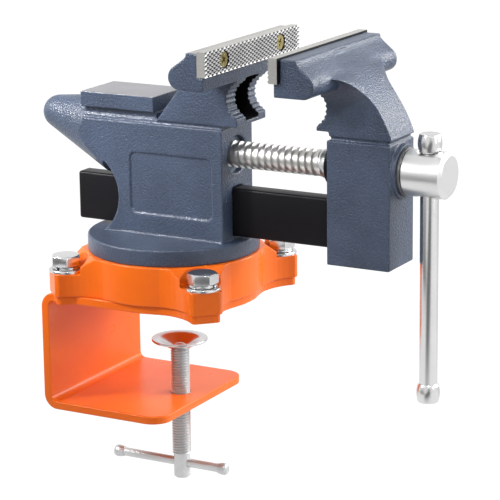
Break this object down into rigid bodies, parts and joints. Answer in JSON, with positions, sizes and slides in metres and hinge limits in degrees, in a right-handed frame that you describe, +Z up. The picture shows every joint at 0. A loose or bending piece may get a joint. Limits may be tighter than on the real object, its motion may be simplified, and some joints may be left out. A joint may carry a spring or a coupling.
{
  "type": "bench vise",
  "caption": "Clamp-on bench vise with flat and pipe jaws, an anvil with a horn, a screw with a sliding handle, a swivel base and a screw clamp for the bench's edge.",
  "frame": {"origin": "on the swivel's axis, in the plane where the clamp bracket's top plate rests on the bench", "axes": "+X along the slide towards the moving jaw, +Y across the jaws, +Z up"},
  "size_m": [0.2764, 0.1202, 0.2826],
  "materials": {
    "powder": "smooth glossy powder coat, orange",
    "paint": "hammered enamel, slate blue-grey",
    "black_steel": "satin black",
    "plate_steel": "ground, with a diamond knurl on the gripping face",
    "steel": "turned and polished",
    "zinc": "bright zinc plate",
    "brass": "dull yellow"
  },
  "bodies": {
    "base": {"swivel_base": "powder", "clamp_bracket": "powder", "base_bolt_1": "zinc", "base_bolt_2": "zinc", "base_bolt_3": "zinc", "base_bolt_4": "zinc", "base_spring_washer_1": "zinc", "base_spring_washer_2": "zinc", "base_spring_washer_3": "zinc", "base_spring_washer_4": "zinc", "base_flat_washer_1": "zinc", "base_flat_washer_2": "zinc", "base_flat_washer_3": "zinc", "base_flat_washer_4": "zinc"},
    "fixed_jaw": {"fixed_jaw_body": "paint", "fixed_jaw_plate": "plate_steel", "fixed_plate_screw_1": "brass", "fixed_plate_screw_2": "brass", "lead_nut": "brass", "lead_nut_screw": "steel", "swivel_bolt": "zinc", "swivel_washer": "zinc"},
    "moving_jaw": {"moving_jaw_casting": "paint", "moving_jaw_plate": "plate_steel", "moving_plate_screw_1": "brass", "moving_plate_screw_2": "brass", "slide_bar": "black_steel", "slide_bar_pin_1": "steel", "slide_bar_pin_2": "steel"},
    "screw_unit": {"lead_screw": "steel", "screw_collar": "steel", "retaining_ring": "black_steel", "inner_washer": "zinc", "thrust_washer": "zinc"},
    "handle": {"handle_rod": "steel", "handle_knob_upper": "steel", "handle_knob_lower": "steel"},
    "pad": {"clamp_pad": "zinc"},
    "clamp_screw_unit": {"clamp_screw": "steel", "clamp_pad_rivet": "steel"},
    "clamp_tbar": {"clamp_tbar_rod": "steel", "clamp_tbar_knob_1": "steel", "clamp_tbar_knob_2": "steel"}
  },
  "joints": [
    {"name": "swivel", "type": "hinge", "parent": "base", "child": "fixed_jaw", "pos_m": [0, 0, 0.0292], "axis": [0, 0, 1], "continuous": true},
    {"name": "jaw_slide", "type": "slide", "parent": "fixed_jaw", "child": "moving_jaw", "axis": [1, 0, 0], "range_m": [-0.0399, 0.04]},
    {"name": "lead_screw_spin", "type": "hinge", "parent": "moving_jaw", "child": "screw_unit", "pos_m": [0.114, 0, 0.0912], "axis": [1, 0, 0], "range_deg": [-3210, 3210]},
    {"name": "handle_slide", "type": "slide", "parent": "screw_unit", "child": "handle", "axis": [0, 0, 1], "range_m": [0, 0.113]},
    {"name": "clamp_pad_travel", "type": "slide", "parent": "base", "child": "pad", "axis": [0, 0, 1], "range_m": [-0.028, 0.029]},
    {"name": "clamp_screw_spin", "type": "hinge", "parent": "pad", "child": "clamp_screw_unit", "pos_m": [0.0027, 0, -0.0367], "axis": [0, 0, 1], "range_deg": [-5780, 5980]},
    {"name": "clamp_tbar_slide", "type": "slide", "parent": "clamp_screw_unit", "child": "clamp_tbar", "axis": [1, 0, 0], "range_m": [-0.0205, 0.037]}
  ],
  "couplings": [
    {"joint": "lead_screw_spin", "follows": "jaw_slide", "rad_per_m": 1396.3},
    {"joint": "clamp_screw_spin", "follows": "clamp_pad_travel", "rad_per_m": 3590.4}
  ]
}
